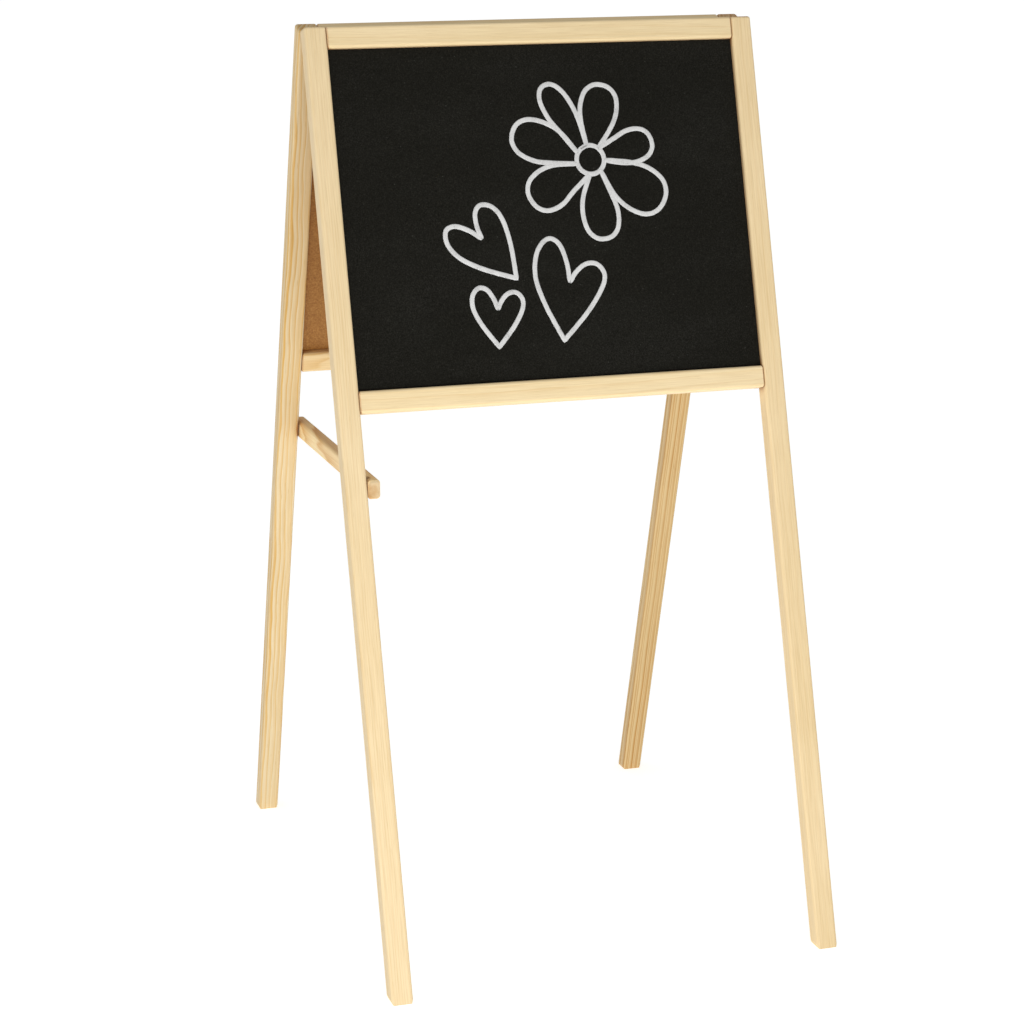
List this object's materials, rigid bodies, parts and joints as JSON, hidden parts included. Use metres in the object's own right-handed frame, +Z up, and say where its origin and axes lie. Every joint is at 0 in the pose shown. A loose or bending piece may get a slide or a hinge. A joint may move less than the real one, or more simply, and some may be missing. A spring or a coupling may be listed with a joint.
{
  "type": "folding drawing easel",
  "caption": "Folding wooden A-frame easel for children, with a chalkboard in front, a whiteboard behind and a side stay.",
  "frame": {"origin": "on the floor, midway between the four feet of the open easel", "axes": "+Z up, +X to the easel's right as seen by someone facing the chalkboard, -Y towards that person, so the chalkboard faces -Y and up, the whiteboard faces +Y and up, and the hinge pins run along X"},
  "size_m": [0.441, 0.5628, 0.8576],
  "materials": {
    "pine": "planed and sanded pine, clear matt finish",
    "beech": "turned hardwood",
    "hardboard": "brown hardboard, smooth",
    "chalkboard": "matt black chalkboard coating with fine speckle",
    "whiteboard": "glossy white laminate",
    "plated_steel": "zinc-plated steel"
  },
  "bodies": {
    "front_frame": {"front_left_stile": "pine", "front_right_stile": "pine", "front_top_rail": "pine", "front_bottom_rail": "pine", "front_frame_dowels": "beech", "chalkboard_panel": "hardboard", "chalkboard_surface": "chalkboard", "left_hinge_front_leaf": "plated_steel", "right_hinge_front_leaf": "plated_steel", "left_hinge_pin": "plated_steel", "right_hinge_pin": "plated_steel", "front_hinge_screws": "plated_steel", "stay_catch_peg": "beech"},
    "rear_frame": {"rear_left_stile": "pine", "rear_right_stile": "pine", "rear_top_rail": "pine", "rear_bottom_rail": "pine", "rear_frame_dowels": "beech", "whiteboard_panel": "hardboard", "whiteboard_surface": "whiteboard", "left_hinge_rear_leaf": "plated_steel", "right_hinge_rear_leaf": "plated_steel", "rear_hinge_screws": "plated_steel", "stay_pivot_screw": "plated_steel", "stay_washer": "plated_steel"},
    "stay": {"stay_bar": "pine"}
  },
  "joints": [
    {"name": "fold", "type": "hinge", "parent": "front_frame", "child": "rear_frame", "pos_m": [0, 0, 0.85351], "axis": [-1, 0, 0], "range_deg": [0, 34]},
    {"name": "stay_swing", "type": "hinge", "parent": "rear_frame", "child": "stay", "pos_m": [-0.193, 0.13485, 0.448], "axis": [1, 0, 0], "range_deg": [0, 107.1]}
  ],
  "couplings": [
    {"joint": "stay_swing", "follows": "fold", "ratio": 3.1471}
  ]
}
